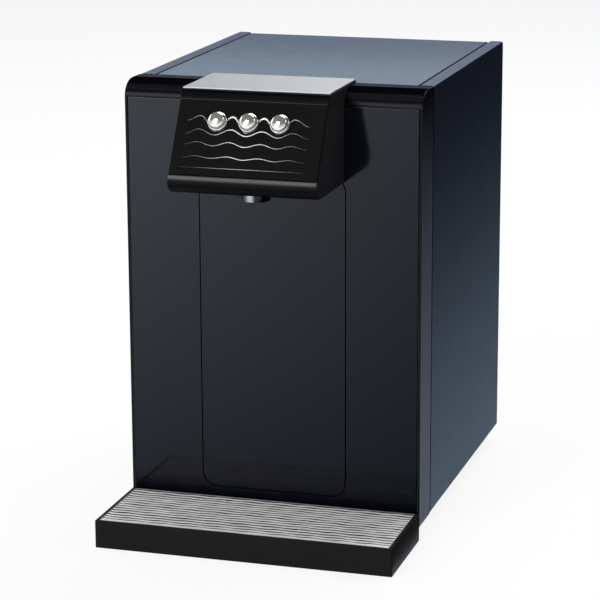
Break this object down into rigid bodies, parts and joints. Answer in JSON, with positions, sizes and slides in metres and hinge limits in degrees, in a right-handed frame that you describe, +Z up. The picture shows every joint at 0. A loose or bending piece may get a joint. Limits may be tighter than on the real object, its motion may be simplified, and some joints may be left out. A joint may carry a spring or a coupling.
{
  "type": "countertop water dispenser",
  "caption": "Countertop water dispenser: flat casing, overhanging head with chrome push buttons above a nozzle, and a wide removable drip tray with a grille.",
  "frame": {"origin": "middle of the footprint, drip tray included, at counter level", "axes": "+Z up; the front with the head and the tray faces -Y; +X to the viewer's right"},
  "size_m": [0.26, 0.4034, 0.3896],
  "materials": {
    "blue_steel": "dark blue-grey satin sheet steel",
    "gloss_charcoal": "high gloss charcoal",
    "matt_black": "fine matt black",
    "silver_plate": "bright silver satin",
    "chrome": "polished chrome",
    "stainless": "satin stainless steel",
    "zinc_steel": "zinc-plated steel",
    "soft_rubber": "black rubber",
    "white_foam": "white foam",
    "copper": "bare copper tube",
    "board_green": "green circuit board",
    "natural_plastic": "natural translucent plastic"
  },
  "bodies": {
    "casing": {"base_pan": "zinc_steel", "button_bezel_centre": "chrome", "button_bezel_left": "chrome", "button_bezel_right": "chrome", "cold_feed_hose": "natural_plastic", "cold_hose": "natural_plastic", "cold_jacket": "white_foam", "cold_tank": "stainless", "cold_valve": "matt_black", "compressor": "matt_black", "condenser": "zinc_steel", "control_plate": "matt_black", "discharge_line": "copper", "drain_fitting": "zinc_steel", "evaporator_coil": "copper", "fan_frame": "matt_black", "foot_front_left": "soft_rubber", "foot_front_right": "soft_rubber", "foot_rear_left": "soft_rubber", "foot_rear_right": "soft_rubber", "front_panel": "gloss_charcoal", "front_surround": "gloss_charcoal", "head_shell": "matt_black", "head_top_plate": "silver_plate", "hot_feed_hose": "natural_plastic", "hot_hose": "natural_plastic", "hot_jacket": "white_foam", "hot_tank": "stainless", "hot_valve": "matt_black", "inlet_fitting": "zinc_steel", "inlet_hose": "natural_plastic", "inner_frame": "zinc_steel", "nozzle": "chrome", "outlet_block": "natural_plastic", "power_board": "board_green", "power_inlet": "matt_black", "rear_panel": "blue_steel", "rear_screw_high_left": "zinc_steel", "rear_screw_high_right": "zinc_steel", "rear_screw_low_left": "zinc_steel", "rear_screw_low_right": "zinc_steel", "room_hose": "natural_plastic", "room_valve": "matt_black", "service_panel": "zinc_steel", "side_panel_left": "blue_steel", "side_panel_right": "blue_steel", "splash_panel": "gloss_charcoal", "switch_board": "board_green", "switch_frame": "matt_black", "top_panel": "blue_steel", "valve_block": "natural_plastic"},
    "button_left": {"button_left": "chrome"},
    "button_centre": {"button_centre": "chrome"},
    "button_right": {"button_right": "chrome"},
    "drip_tray": {"drip_tray": "matt_black"},
    "tray_grille": {"tray_grille": "stainless"},
    "fan_rotor": {"fan_rotor": "matt_black"},
    "heat_rocker": {"heat_rocker": "matt_black"},
    "chill_rocker": {"chill_rocker": "matt_black"},
    "drain_cap": {"drain_cap": "matt_black"}
  },
  "joints": [
    {"name": "press_left", "type": "slide", "parent": "casing", "child": "button_left", "axis": [0, 0.8616, -0.5075], "range_m": [0, 0.0025], "stiffness_N_per_m": 300, "springref_m": -0.002},
    {"name": "press_centre", "type": "slide", "parent": "casing", "child": "button_centre", "axis": [0, 0.8616, -0.5075], "range_m": [0, 0.0025], "stiffness_N_per_m": 300, "springref_m": -0.002},
    {"name": "press_right", "type": "slide", "parent": "casing", "child": "button_right", "axis": [0, 0.8616, -0.5075], "range_m": [0, 0.0025], "stiffness_N_per_m": 300, "springref_m": -0.002},
    {"name": "tray_slide", "type": "slide", "parent": "casing", "child": "drip_tray", "axis": [0, -1, 0], "range_m": [0, 0.065]},
    {"name": "grille_lift", "type": "slide", "parent": "drip_tray", "child": "tray_grille", "axis": [0, 0, 1], "range_m": [0, 0.04]},
    {"name": "fan_spin", "type": "hinge", "parent": "casing", "child": "fan_rotor", "pos_m": [0.04, 0.1651, 0.166], "axis": [0, 1, 0], "continuous": true},
    {"name": "heat_toggle", "type": "hinge", "parent": "casing", "child": "heat_rocker", "pos_m": [0.0705, 0.17255, 0.0551], "axis": [-1, 0, 0], "range_deg": [0, 16]},
    {"name": "chill_toggle", "type": "hinge", "parent": "casing", "child": "chill_rocker", "pos_m": [0.0855, 0.17255, 0.0551], "axis": [-1, 0, 0], "range_deg": [0, 16]},
    {"name": "drain_cap_turn", "type": "hinge", "parent": "casing", "child": "drain_cap", "pos_m": [-0.045, 0.184, 0.0551], "axis": [0, 1, 0], "range_deg": [0, 720]}
  ]
}
